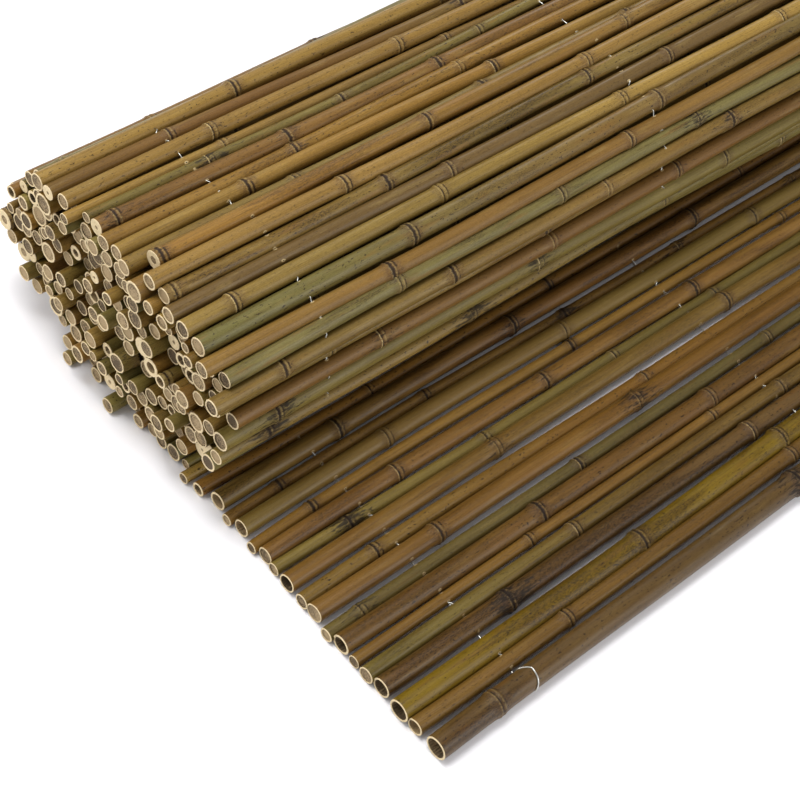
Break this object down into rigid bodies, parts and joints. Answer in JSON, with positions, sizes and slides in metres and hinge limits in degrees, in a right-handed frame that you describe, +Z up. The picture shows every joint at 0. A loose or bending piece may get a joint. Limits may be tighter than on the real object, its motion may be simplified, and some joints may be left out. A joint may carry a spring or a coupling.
{
  "type": "bamboo screening roll",
  "caption": "Screen of bamboo canes threaded on rows of wire, wound into an oval roll with its free end laid out flat; for fences, gates and garden partitions.",
  "frame": {"origin": "bottom centre of the bounding box, on the floor the roll lies on", "axes": "+X along the canes, the row's near cane ends toward -X; -Y toward the unrolled free end; +Z up from the floor"},
  "size_m": [1.2188, 0.3954, 0.1323],
  "materials": {
    "bamboo": "satin natural cane skin, olive to tan",
    "bamboo_end": "satin natural cane skin, brown tan",
    "wire": "thin galvanised wire"
  },
  "bodies": {
    "root": {"core_fold": "bamboo", "turn_1": "bamboo", "turn_2": "bamboo", "turn_3": "bamboo", "turn_4": "bamboo", "turn_5": "bamboo", "turn_6": "bamboo", "floor_run": "bamboo", "apron_canes": "bamboo", "end_cane": "bamboo_end", "wire_row_1": "wire", "wire_row_2": "wire", "wire_row_3": "wire", "wire_row_4": "wire", "wire_row_5": "wire"}
  },
  "joints": []
}
